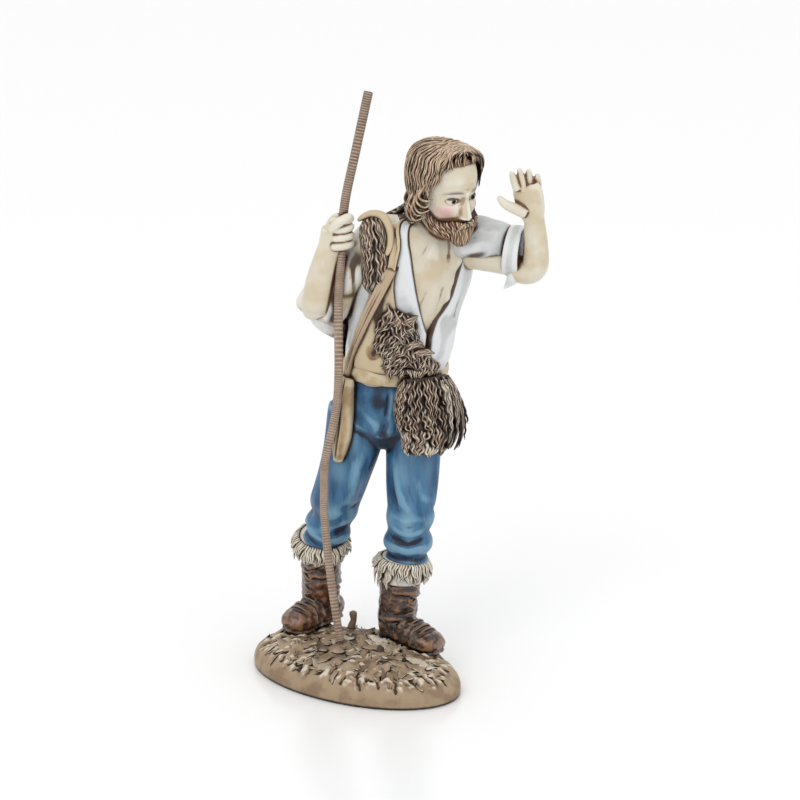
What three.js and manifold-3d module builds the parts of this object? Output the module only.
// A painted resin nativity shepherd, 118 mm tall, who shades his eyes with a hand and holds a staff.
// The man and his grassy base are one casting. The staff is a piece of its own, pushed through the fist
// into the ground. Millimetres, +Z up, the origin in the middle of the base's underside.
// The man's hips face -Y and his left is +X.
import * as THREE from 'three';
import { mergeVertices } from 'three/addons/utils/BufferGeometryUtils.js';
import Module from 'manifold-3d';

const wasm = await Module();
wasm.setup();

const BASE_LENGTH = 49.6;
const BASE_WIDTH = 29.4;
const BASE_TURN = -32.8;
const BASE_RIM = 1.5;
const GROUND = 7;
const MAN_PLACE = [1.7, 3.2, 0];
const LEFT_SOLE = 5.3;
const RIGHT_SOLE = 6.4;
const STAFF_RADIUS = 0.95;
const STAFF_CLEARANCE = 0.25;
const STAFF_TAPER = 0.01;
const STAFF_RIB_HEIGHT = 0.06;
const STAFF_RIB_PITCH = 9000;
const LEFT_FOOT_TURN = 46;
const RIGHT_FOOT_TURN = -42;
const HEAD_TURN = 40;
const HEAD_NOD = 6;
const HEAD_TILT = -2;
const HEAD_MIDDLE = [16.6, 1.2, 106.9];

const rad = THREE.MathUtils.degToRad;
const lerp = THREE.MathUtils.lerp;
const clamp = THREE.MathUtils.clamp;
const smooth = THREE.MathUtils.smoothstep;
const vector = (p) => new THREE.Vector3(...p);

// A form is a smooth body around a line. Each station is [x, y, z, half width, half depth, turn in degrees].
// point(t, v, lift) gives the place t along the line and v around it, lifted off the surface.
// v = 90 is the front.
function form(stations, { front = [0, -1, 0], square = 2, relief = () => 0 } = {}) {
  const curve = (points) => new THREE.CatmullRomCurve3(points, false, 'catmullrom', 0.5);
  const line = curve(stations.map((s) => vector(s.slice(0, 3))));
  const sizes = curve(stations.map((s) => vector([s[3], s[4], s[5] ?? 0])));
  const facing = vector(front);
  const ring = (t) => {
    const along = clamp(t, 0, 1);
    const centre = line.getPoint(along);
    const tangent = line.getTangent(clamp(along, 0.002, 0.998));
    const side = new THREE.Vector3().crossVectors(tangent, facing).normalize();
    const forward = new THREE.Vector3().crossVectors(side, tangent);
    const size = sizes.getPoint(along);
    side.applyAxisAngle(tangent, rad(size.z));
    forward.applyAxisAngle(tangent, rad(size.z));
    return { centre, side, forward, a: Math.max(size.x, 0.02), b: Math.max(size.y, 0.02) };
  };
  const point = (t, v, lift = 0) => {
    const { centre, side, forward, a, b } = ring(t);
    const c = Math.cos(rad(v));
    const s = Math.sin(rad(v));
    const scale = (Math.abs(c) ** square + Math.abs(s) ** square) ** (-1 / square);
    const out = lift + relief(t, v);
    return centre.clone()
      .addScaledVector(side, c * (a * scale + out))
      .addScaledVector(forward, s * (b * scale + out));
  };
  return { point, ring };
}

// Joins a grid of points into a geometry. Columns wrap round when closed is true.
function gridFaces(rows, columns, closed, offset, flip, index) {
  const last = closed ? columns : columns - 1;
  for (let i = 0; i < rows - 1; i++) {
    for (let j = 0; j < last; j++) {
      const k = (j + 1) % columns;
      const a = offset + i * columns + j;
      const b = offset + i * columns + k;
      const c = offset + (i + 1) * columns + j;
      const d = offset + (i + 1) * columns + k;
      if (flip) index.push(a, c, b, b, c, d);
      else index.push(a, b, c, b, d, c);
    }
  }
}

function geometryOf(points, index) {
  const geometry = new THREE.BufferGeometry();
  geometry.setAttribute('position', new THREE.Float32BufferAttribute(points.flatMap((p) => p.toArray()), 3));
  geometry.setIndex(index);
  return geometry;
}

function signedVolume(positions, index) {
  let volume = 0;
  const p = (i) => new THREE.Vector3(positions[3 * i], positions[3 * i + 1], positions[3 * i + 2]);
  for (let i = 0; i < index.length; i += 3) {
    volume += p(index[i]).dot(p(index[i + 1]).cross(p(index[i + 2]))) / 6;
  }
  return volume;
}

// A closed geometry as a solid that can be joined and cut, with its faces pointing out.
function solid(geometry) {
  const bare = geometry.clone();
  bare.deleteAttribute('normal');
  bare.deleteAttribute('uv');
  const merged = mergeVertices(bare, 1e-5);
  const vertProperties = new Float32Array(merged.attributes.position.array);
  const triVerts = new Uint32Array(merged.index.array);
  if (signedVolume(vertProperties, triVerts) < 0) {
    for (let i = 0; i < triVerts.length; i += 3) {
      [triVerts[i], triVerts[i + 1]] = [triVerts[i + 1], triVerts[i]];
    }
  }
  return new wasm.Manifold(new wasm.Mesh({ numProp: 3, vertProperties, triVerts }));
}

// The whole of a form, closed by a flat fan at each end.
// rows is a number of equal steps or the list of places.
function body(shape, rows, sides) {
  const places = Array.isArray(rows) ? rows : Array.from({ length: rows + 1 }, (_, i) => i / rows);
  const steps = places.length - 1;
  const points = [];
  for (const t of places) {
    for (let j = 0; j < sides; j++) points.push(shape.point(t, (360 * j) / sides));
  }
  const index = [];
  gridFaces(steps + 1, sides, true, 0, false, index);
  for (const [row, flip] of [[0, true], [steps, false]]) {
    const centre = points.length;
    points.push(shape.ring(places[row]).centre);
    for (let j = 0; j < sides; j++) {
      const a = row * sides + j;
      const b = row * sides + ((j + 1) % sides);
      if (flip) index.push(centre, b, a);
      else index.push(centre, a, b);
    }
  }
  return solid(geometryOf(points, index));
}

// A slab that lies on a form. place(s, w) turns the slab's own places 0..1 into [t, v] of the form.
// top(s, w) and bottom(s, w) are the heights of its two faces off the form.
function patch(shape, rows, columns, place, top, bottom, closed = false) {
  const points = [];
  const count = closed ? columns : columns + 1;
  for (const lift of [top, bottom]) {
    for (let i = 0; i <= rows; i++) {
      for (let j = 0; j < count; j++) {
        const [s, w] = [i / rows, j / columns];
        const [t, v] = place(s, w);
        points.push(shape.point(t, v, lift(s, w)));
      }
    }
  }
  const index = [];
  const layer = (rows + 1) * count;
  gridFaces(rows + 1, count, closed, 0, false, index);
  gridFaces(rows + 1, count, closed, layer, true, index);
  const wall = (a, b) => index.push(a, a + layer, b, b, a + layer, b + layer);
  for (let j = 0; j < (closed ? count : count - 1); j++) {
    const k = (j + 1) % count;
    wall(j, k);
    wall(rows * count + k, rows * count + j);
  }
  if (!closed) {
    for (let i = 0; i < rows; i++) {
      wall((i + 1) * count, i * count);
      wall(i * count + count - 1, (i + 1) * count + count - 1);
    }
  }
  return solid(geometryOf(points, index));
}

function ellipsoid(centre, radii, turn = [0, 0, 0], detail = 8) {
  const geometry = new THREE.SphereGeometry(1, detail, Math.ceil(detail * 0.7));
  geometry.scale(...radii);
  geometry.rotateX(rad(turn[0]));
  geometry.rotateY(rad(turn[1]));
  geometry.rotateZ(rad(turn[2]));
  geometry.translate(...centre);
  return solid(geometry);
}

// A finger, lock or blade: a thin form that narrows to a rounded tip.
function strand(points, widths, { flat = 1, sides = 6, steps = 4, front = [0, -1, 0] } = {}) {
  const stations = points.map((p, i) => [...p, widths[i], widths[i] * flat]);
  return body(form(stations, { front }), steps, sides);
}

// Wavy ridges of hair or fleece, as a height that runs across v and wanders along t.
const locks = (t, v, count, height, wander = 14) =>
  height * Math.cos(rad(count * v + wander * Math.sin(rad(t * 700 + v * 2))));

// Ground

const baseOutline = (angle, reach) => new THREE.Vector3(
  reach * (BASE_LENGTH / 2) * Math.cos(rad(angle)), reach * (BASE_WIDTH / 2) * Math.sin(rad(angle)), 0)
  .applyAxisAngle(new THREE.Vector3(0, 0, 1), rad(BASE_TURN));

const groundRipple = (x, y) =>
  0.3 * Math.sin(0.9 * x + 0.5 * y) * Math.cos(0.8 * y - 0.4 * x) + 0.15 * Math.sin(1.9 * x - 1.3 * y);

// A domed oval mound: upright at its rim and almost level on top, with a rippled top.
function groundMound() {
  const rises = [0, 18, 34, 48, 61, 73, 83];
  const sides = 30;
  const points = [];
  for (let j = 0; j < sides; j++) points.push(baseOutline((360 * j) / sides, 1));
  for (const rise of rises) {
    const z = BASE_RIM + (GROUND - BASE_RIM) * Math.sin(rad(rise));
    for (let j = 0; j < sides; j++) {
      const p = baseOutline((360 * j) / sides, Math.cos(rad(rise)) ** 0.45);
      points.push(p.setZ(z + groundRipple(p.x, p.y) * smooth(rise, 20, 48)));
    }
  }
  const index = [];
  gridFaces(rises.length + 1, sides, true, 0, false, index);
  const peak = points.push(new THREE.Vector3(0, 0, GROUND)) - 1;
  const foot = points.push(new THREE.Vector3(0, 0, 0)) - 1;
  const last = rises.length * sides;
  for (let j = 0; j < sides; j++) {
    const k = (j + 1) % sides;
    index.push(peak, last + j, last + k);
    index.push(foot, k, j);
  }
  return solid(geometryOf(points, index));
}

// Tufts of dry grass, each [x, y, blades] in the frame of the base.
const TUFTS = [[-2.4, 4.6, 3], [1.4, 2.6, 2], [4.2, -1.5, 2], [8, -7.6, 2]];

function grassBlades() {
  return TUFTS.flatMap(([x, y, count], n) => Array.from({ length: count }, (_, i) => {
    const angle = rad(137 * i + 53 * n);
    const reach = 2 + 0.5 * ((i + n) % 3);
    const at = (f, z) => [x + f * reach * Math.cos(angle), y + f * reach * Math.sin(angle), GROUND + z];
    return strand([at(-0.2, -1.3), at(0.5, 0.3), at(1, 0.9)], [1, 0.8, 0.15],
      { flat: 0.5, sides: 4, steps: 2 });
  }));
}

// Boots

function boot(sole, toe, ankle, top, turn) {
  const heading = [Math.sin(rad(turn)), -Math.cos(rad(turn))];
  const station = (back, z, a, b) => [
    toe[0] - heading[0] * back, toe[1] - heading[1] * back, sole + z, a, b];
  const creases = (t, v) => 0.12 * Math.sin(rad(t * 1500)) * smooth(Math.sin(rad(v)), 0, 1);
  const foot = form([
    station(0.2, 1.9, 1.2, 0.9), station(0.7, 2.1, 2.6, 1.9), station(2.2, 2.4, 3.4, 2.6),
    station(4.6, 2.7, 3.6, 3.1), station(7.5, 3.2, 3.2, 3.6), station(11, 3.2, 3.0, 3.6),
    station(13.5, 2.9, 2.9, 3.2), station(15.6, 2.6, 2.1, 2.6), station(16.2, 2.4, 0.9, 1.2),
  ], { front: [0, 0, 1], square: 2.6, relief: creases });
  const middle = ankle.map((c, i) => lerp(c, top[i], 0.5));
  const shaft = form([
    [...ankle.slice(0, 2), sole + 1.5, 3.5, 3.6, turn], [...ankle, 4.1, 4.1, turn],
    [...middle, 4.2, 4.3, turn], [...top, 4.5, 4.5, turn],
  ], { relief: (t, v) => 0.22 * Math.sin(rad(t * 1400 + 40 * Math.sin(rad(2 * v)))) });
  return [body(foot, 7, 10), body(shaft, 4, 10)];
}

// The rolled collar of fleece at the top of a boot, with its locks hanging down.
function fleeceCuff(low, high) {
  const middle = low.map((c, i) => lerp(c, high[i], 0.5));
  const cuff = form([[...low, 4.7, 4.7], [...middle, 5.6, 5.6], [...high, 5.0, 5.0]], {
    relief: (t, v) => locks(t, v, 10, 0.3),
  });
  return body(cuff, 2, 20);
}

// Trousers

// Rings of cloth pushed up above the boot, and long soft folds higher up.
const FOLD_PITCH = 0.16;
const LEG_ROWS = [0, 0.16, 0.3, 0.43, 0.53, 0.61, 0.69, 0.77, 0.85, 0.93, 1];
const FOLD_START = 0.61;
const trouserFolds = (twist) => (t, v) => {
  const turns = (360 * (t - FOLD_START)) / FOLD_PITCH;
  const rings = Math.cos(rad(turns + 50 * Math.sin(rad(v + twist))));
  const folds = Math.sin(rad(3 * v + 260 * t + twist));
  return 0.38 * smooth(t, 0.5, 0.8) * rings + 0.3 * folds * (1 - smooth(t, 0.6, 0.9));
};

const rightLeg = form([
  [-0.8, 8.0, 57.5, 6.6, 7.0], [-2.0, 7.6, 50, 6.2, 6.4], [-4.0, 7.0, 43, 5.6, 5.8],
  [-6.4, 7.2, 36, 5.2, 5.4], [-8.2, 8.8, 29, 4.6, 4.9], [-9.0, 10.2, 25.2, 3.9, 4.1],
], { relief: trouserFolds(40) });
const leftLeg = form([
  [10.0, 7.6, 57.5, 6.4, 7.0], [10.3, 6.6, 50, 6.0, 6.3], [10.1, 5.0, 42, 5.6, 5.8],
  [10.0, 4.0, 35.5, 5.0, 5.3], [9.4, 4.0, 27.5, 4.8, 4.9], [8.9, 4.0, 23, 3.9, 4.0],
], { relief: trouserFolds(200) });
const seat = form([
  [3.9, 7.8, 49.2, 5.5, 3.6], [4.0, 7.8, 50.6, 9.6, 5.8, 2], [4.3, 8.0, 54.5, 11.8, 7.8, 5],
  [5.3, 8.1, 60, 11.2, 7.6, 8], [6.3, 8.0, 65.7, 10.8, 7.5, 12],
], { relief: (t, v) => 0.2 * Math.sin(rad(4 * v + 500 * t)) });

// Shirt, chest and neck. The waistband stands out between the two places WAIST of the torso.

const WAIST = [0.17, 0.23];
const WAISTBAND_THICKNESS = 0.75;
const torso = form([
  [5.8, 8.1, 58, 9, 6, 10], [6.2, 8.0, 62, 10.0, 6.8, 12], [6.8, 7.5, 68, 10.4, 7.2, 16],
  [7.6, 7.0, 74, 10.8, 7.4, 20], [8.9, 6.2, 82, 11.6, 7.9, 24], [11.0, 5.2, 89.5, 12.0, 7.6, 26],
  [13.2, 4.8, 95, 11.2, 6.4, 28], [14.4, 4.6, 98.6, 8.2, 5.0, 30], [15.0, 4.2, 101.2, 4.6, 4.3, 30],
  [15.4, 3.6, 104, 4.0, 4.0, 30],
], { square: 2.25, relief: (t) => (t > WAIST[0] && t < WAIST[1] ? WAISTBAND_THICKNESS : 0) });
const TORSO_ROWS = [0, 0.165, 0.175, 0.225, 0.235, 0.34, 0.45, 0.555, 0.66, 0.77, 0.86, 0.93, 1];
const LAPEL_TOP = 0.84;
const LAPEL_FOOT = 0.37;
const rightLapel = (t) => 77 + 171 * (t - 0.385);
const leftLapel = (t) => 77 - 15 * smooth(t, LAPEL_FOOT, 0.52);

function shirtFront(lapel, back) {
  return patch(torso, 8, 3,
    (s, w) => {
      const t = lerp(LAPEL_FOOT, LAPEL_TOP, s);
      return [t, lerp(lapel(t), back, w)];
    },
    (s, w) => 0.75 - 1.4 * w + 0.5 * Math.sin(rad(300 * w + 240 * s)) * w * (1 - w), () => -2);
}

// The shirt's cloth gathered over the waistband, fullest on the left of the front.
function shirtSkirt() {
  return patch(torso, 2, 16, (s, w) => [lerp(0.235, 0.4, s), 360 * w],
    (s, w) => (0.4 + 0.9 * smooth(Math.cos(rad(360 * w - 62)), 0.3, 1)) * Math.sin(rad(25 + 135 * s))
      + 0.2 * Math.sin(rad(360 * w * 5)), () => -1.8, true);
}

// Sheepskin over the right shoulder, the pelt on the hip, and the bag on its strap

function sheepskinFront() {
  return patch(torso, 9, 6,
    (s, w) => {
      const t = lerp(0.2, 0.86, s);
      const jag = 7 * Math.sin(rad(s * 1500)) * (1 - smooth(t, 0.4, 0.46));
      const chest = lerp(64, 124, smooth(t, 0.27, 0.45)) + 14 * smooth(t, 0.46, 0.68);
      const inner = chest + 34 * smooth(t, 0.7, 0.84) + jag;
      const outer = 153 + 44 * smooth(t, 0.55, 0.8);
      return [t, lerp(inner, outer, w)];
    },
    (s, w) => {
      const tufts = Math.sin(rad(w * 1150 + 60 * Math.sin(rad(s * 900))));
      return 1.3 + 0.4 * tufts * (1 - smooth(s, 0.3, 0.5));
    }, () => -1.8);
}

function sheepskinBack() {
  return patch(torso, 4, 6,
    (s, w) => [lerp(0.19 + 0.02 * Math.sin(rad(w * 1800)), 0.86, s), lerp(192, lerp(310, 262, s), w)],
    (s, w) => 1.1 + 0.3 * Math.sin(rad(w * 1500 + s * 200)), () => -1.8);
}

const strap = () => patch(torso, 8, 1,
  (s, w) => {
    const t = lerp(0.14, 0.62, s);
    return [t, lerp(160, 132, smooth(t, 0.16, 0.62)) + (w - 0.5) * 13];
  },
  (s) => lerp(1.5, 2.1, smooth(s, 0.2, 0.6)), () => -1.5);

function hangingPelt() {
  const hang = form([
    [12.6, -1.3, 49.4, 3.6, 1.3, 26], [12.9, -1.2, 51.4, 4.8, 1.9, 28], [13.6, -0.6, 55.5, 6.4, 2.3, 30],
    [13.2, 0.2, 61, 6.4, 2.3, 30], [12.9, 1.2, 66.4, 4.9, 1.7, 28],
  ], { square: 2.8, relief: (t, v) => locks(t, v, 9, 0.4, 20) });
  return body(hang, 6, 18);
}

function bag() {
  const pouch = form([
    [-5.4, 3.0, 47.8, 1.1, 2.6], [-4.9, 2.8, 51, 1.9, 4.0], [-4.2, 2.8, 56.2, 2.1, 4.6],
    [-4.0, 3.0, 61, 2.0, 4.3], [-3.2, 3.2, 66, 1.4, 3.2],
  ], { square: 2.8 });
  return body(pouch, 5, 10);
}

// Right arm, held out to the staff

const rightSleeve = form([
  [8.0, 2.2, 96.8, 4.4, 4.8], [3.4, 1.4, 95.9, 4.9, 5.2], [-0.6, 1.4, 91, 4.7, 5.0],
  [-4.6, 1.9, 86.6, 4.8, 4.9], [-8.0, 2.3, 82.2, 5.4, 5.2], [-9.4, 2.4, 79.6, 4.9, 4.7],
  [-9.9, 2.4, 78.6, 3.2, 3.2],
], { relief: (t, v) => 0.35 * smooth(t, 0.2, 0.8) * Math.sin(rad(3 * v + 500 * t)) });
const rightForearm = form([
  [-9.6, 0.8, 79.8, 1.8, 1.8], [-9.7, 0.6, 81.2, 3.0, 2.9], [-8.9, -0.2, 86.5, 3.2, 2.9],
  [-7.6, -1.2, 92, 2.8, 2.4], [-6.6, -1.8, 95.5, 2.6, 2.0], [-5.6, -2.2, 99, 2.9, 2.0],
]);
const FIST = [-4.5, -2.4, 98.9];

// The sheepskin's edge of fleece that hangs in front of the right shoulder
const shoulderFleece = () => body(form([
  [2.6, -2.4, 86.4, 0.7, 0.7], [2.4, -3.0, 88, 1.5, 1.2], [2.9, -3.6, 93, 1.8, 1.5],
  [2.2, -3.4, 98, 2.0, 1.6], [1.6, -1.0, 101.2, 1.8, 1.4],
], { relief: (t, v) => locks(t, v, 5, 0.25, 20) }), 6, 10);

function fist() {
  const pieces = [ellipsoid([-5.7, -2.2, 98.8], [2.3, 2.1, 3.9], [0, 14, 0])];
  const grip = STAFF_RADIUS + 0.75;
  for (let i = 0; i < 4; i++) {
    const z = FIST[2] + 2.5 - 1.75 * i;
    const arc = [160, 215, 270, 325, 380].map((angle) => [
      FIST[0] + 0.35 + 1.1 * grip * Math.cos(rad(angle)),
      FIST[1] - 0.1 + grip * Math.sin(rad(angle)),
      z + 0.3 * Math.cos(rad(angle)),
    ]);
    pieces.push(strand(arc, [0.85, 0.95, 0.95, 0.9, 0.6], { sides: 6, steps: 4, front: [0, 0, 1] }));
  }
  pieces.push(strand([[-6.0, -3.2, 99.5], [-4.8, -4.6, 101.2], [-3.0, -4.2, 102.2], [-2.2, -3.4, 102.4]],
    [1.3, 1.0, 0.9, 0.4], { steps: 4, front: [0, 0, 1] }));
  return pieces;
}

// Left arm, raised to shade the eyes

const leftSleeve = form([
  [18.5, 6.6, 94, 4.8, 5.2], [22.2, 5.6, 94.2, 5.6, 5.8], [26.2, 3.2, 94.2, 5.6, 5.7],
  [29.4, 0.9, 93.4, 4.8, 4.8], [31.2, -0.4, 92.6, 3.6, 3.6],
], { front: [0, 0, 1], relief: (t, v) => 0.25 * Math.sin(rad(3 * v + 400 * t)) });
const leftCuff = form([
  [29.8, 0.9, 92.6, 4.6, 3.9], [30.8, 0.2, 92.3, 5.5, 4.8], [32.4, -0.9, 92.0, 5.7, 4.9],
  [33.4, -1.5, 91.9, 4.6, 3.8],
], { front: [1, 0, 0.2], relief: (t, v) => 0.3 * Math.sin(rad(2 * v)) });
const cuffCorner = () => strand([[32.4, -1.0, 92], [31.4, -1.4, 89.2], [29.8, -1.7, 86.7]],
  [3.6, 2.2, 0.3], { flat: 0.3, steps: 3 });
const leftForearm = form([
  [30.6, 0.2, 91.2, 2.6, 2.6], [33.4, -1.4, 90.2, 2.9, 2.8], [35.4, -2.2, 91.6, 2.9, 2.8],
  [35.6, -2.8, 96.6, 2.5, 2.4], [35.2, -3.6, 101.4, 2.2, 1.7], [34.8, -4.0, 103, 2.4, 1.5],
], { front: [-0.4, -1, 0] });
const leftPalm = form([
  [35.0, -3.9, 101.6, 2.2, 1.4], [34.5, -4.3, 104, 2.9, 1.4], [33.9, -4.7, 106.8, 3.2, 1.3],
  [33.6, -4.9, 108.6, 3.0, 1.0], [33.4, -5.0, 109.2, 2.2, 0.6],
], { front: [-0.35, -1, 0] });

function leftHand() {
  const pieces = [body(leftForearm, 6, 10), body(leftPalm, 4, 9)];
  const side = [0.94, 0.33];
  for (let i = 0; i < 4; i++) {
    const across = -2.35 + 1.55 * i;
    const length = [3.9, 4.6, 4.5, 3.6][i];
    const root = [33.7 + side[0] * across, -4.85 + side[1] * across, 108 - 0.12 * across];
    const lean = 0.2 * length * (1.5 - i * 0.4);
    const bend = (f, curl) => [root[0] - f * lean, root[1] - curl, root[2] + f * length];
    pieces.push(strand([root, bend(0.35, 0.1), bend(0.7, 0.5), bend(1, 1.3)], [0.82, 0.84, 0.78, 0.5],
      { steps: 3 }));
  }
  pieces.push(strand([[33.2, -4.7, 103.4], [31.0, -5.4, 104.4], [29.2, -5.8, 105.4], [27.9, -6.0, 106.8]],
    [1.3, 1.15, 0.95, 0.6], { steps: 4, front: [0, 0, 1] }));
  return pieces;
}

// Head, made facing -Y about its own middle and then turned

const headSpace = new THREE.Matrix4().makeTranslation(...HEAD_MIDDLE)
  .multiply(new THREE.Matrix4().makeRotationZ(rad(HEAD_TURN)))
  .multiply(new THREE.Matrix4().makeRotationX(rad(HEAD_NOD)))
  .multiply(new THREE.Matrix4().makeRotationY(rad(HEAD_TILT)));

const skull = form([
  [0, -3.6, -10.2, 0.6, 0.6], [0, -3.4, -9.9, 2.0, 2.0], [0, -2.6, -8.2, 3.9, 4.2], [0, -1.4, -5.2, 5.2, 5.9],
  [0, -0.6, -1, 5.9, 6.9], [0, 0, 3, 6.3, 7.5], [0, 0.3, 6.2, 5.8, 6.9], [0, 0.4, 8.8, 3.9, 4.8],
  [0, 0.4, 9.8, 1.6, 2.0],
]);

// Hair from the crown down, cut short over the forehead and long at the sides and the back.
function hair() {
  const hairline = (w) => {
    const toFace = Math.abs(w - 0.5) * 2;
    return lerp(0.76, 0.24, smooth(toFace, 0.32, 0.56)) - 0.08 * smooth(toFace, 0.6, 0.9);
  };
  return patch(skull, 4, 22, (s, w) => [lerp(hairline(w), 0.98, s), 90 + 360 * (w - 0.5)],
    (s, w) => 0.55 + 0.9 * smooth(s, 0, 0.3) + locks(s, 360 * w, 11, 0.3, 20) * (1 - smooth(s, 0.7, 1)),
    (s) => -2 + 1.2 * smooth(s, 0.7, 1), true);
}

// A short full beard, deepest under the chin and running out on the cheeks.
function beard() {
  return patch(skull, 2, 12,
    (s, w) => [lerp(0.03, lerp(0.33, 0.5, Math.abs(w - 0.5) * 2), s), lerp(-16, 196, w)],
    (s, w) => (0.35 + 1.3 * Math.sin(Math.PI * clamp(w, 0.1, 0.9))) * (1 - s ** 3) - 0.3 * s ** 3
      + 0.2 * Math.cos(rad(180 * w * 12)), (s) => -1 - s);
}

function head() {
  const nose = strand([[0, -6.7, 0.8], [0, -8.0, -2.4], [0, -8.7, -3.9], [0, -7.0, -4.8]],
    [0.7, 1.1, 1.4, 0.8], { sides: 7, steps: 3 });
  const curls = [-1, 1].map((side) => strand(
    [[side * 5.4, 1.2, 1], [side * 6.9, 1.6, -2], [side * 6.8, 2.4, -5], [side * 5.4, 2.8, -7.2]],
    [1.6, 2.3, 2.3, 1], { sides: 7, steps: 4, flat: 1.3 }));
  const crown = ellipsoid([0, 0.4, 9.1], [4.4, 5, 1.7]);
  const whole = [body(skull, 9, 12), hair(), crown, beard(), nose, ...curls];
  return whole.map((piece) => piece.transform(headSpace.toArray()));
}

// Staff: a crooked stick that runs from above the head, through the fist, into the ground

const staffLine = [
  [1.3, -2.0, 127.8], [-1.2, -2.1, 116], [-3.7, -2.3, 104.2], [-4.5, -2.4, 92.8], [-5.0, -2.4, 83.8],
  [-5.1, -2.4, 68.6], [-5.8, -2.4, 59.6], [-7.9, -2.3, 49.4], [-8.3, -2.3, 42.2], [-8.2, -2.2, 34.1],
  [-6.6, -2.0, 18.4], [-4.8, -1.5, 6], [-4.4, -1.4, 3.6],
];

// The staff itself, or with extra the wider smooth channel it stands in.
function staffBody(extra, steps, sides) {
  const ribs = (t) => (extra > 0 ? 0 : STAFF_RIB_HEIGHT * Math.sin(rad(t * STAFF_RIB_PITCH)));
  const stations = staffLine.map((p, i) => {
    const radius = STAFF_RADIUS + extra - STAFF_TAPER * i;
    return [...p, radius, radius];
  });
  return body(form(stations, { relief: ribs }), steps, sides).translate(MAN_PLACE);
}

function figureSolid() {
  const man = [
    ...boot(LEFT_SOLE, [16.0, -5.6], [7.0, 4.0, 11], [8.1, 4.0, 22.5], LEFT_FOOT_TURN),
    ...boot(RIGHT_SOLE, [-16.6, 4], [-9.6, 12.2, 12.2], [-9.4, 10.6, 24.7], RIGHT_FOOT_TURN),
    fleeceCuff([8.0, 4.0, 20.2], [8.5, 4.0, 24.8]), fleeceCuff([-9.6, 11.2, 23.0], [-9.3, 9.8, 27.6]),
    body(rightLeg, LEG_ROWS, 12), body(leftLeg, LEG_ROWS, 12), body(seat, 5, 16),
    body(torso, TORSO_ROWS, 18), shirtFront(rightLapel, 185), shirtFront(leftLapel, -12), shirtSkirt(),
    sheepskinFront(), sheepskinBack(), strap(), bag(), hangingPelt(), shoulderFleece(),
    body(rightSleeve, 7, 12), body(rightForearm, 6, 10), ...fist(),
    body(leftSleeve, 6, 12), body(leftCuff, 4, 14), cuffCorner(), ...leftHand(),
    ...head(),
  ];
  const placed = wasm.Manifold.union(man).translate(MAN_PLACE);
  const channel = staffBody(STAFF_CLEARANCE, 30, 7);
  return castingOnly(wasm.Manifold.union([groundMound(), ...grassBlades(), placed]).subtract(channel));
}

// The outer skin of the casting. Pockets sealed between two overlapping forms are filled.
function castingOnly(shape) {
  return shape.decompose().reduce((largest, piece) => (piece.volume() > largest.volume() ? piece : largest));
}

function meshOf(name, shape, colour, roughness) {
  const { vertProperties, triVerts } = shape.getMesh();
  const geometry = new THREE.BufferGeometry();
  geometry.setAttribute('position', new THREE.BufferAttribute(new Float32Array(vertProperties), 3));
  geometry.setIndex(new THREE.BufferAttribute(new Uint32Array(triVerts), 1));
  geometry.computeVertexNormals();
  const material = new THREE.MeshStandardMaterial({ color: colour, roughness, metalness: 0 });
  const mesh = new THREE.Mesh(geometry, material);
  mesh.name = name;
  return mesh;
}

const shepherd = new THREE.Group();
shepherd.add(meshOf('figure', figureSolid(), 0xb59a78, 0.5));
shepherd.add(meshOf('staff', staffBody(0, 46, 7), 0x8a6f58, 0.7));

export default shepherd;
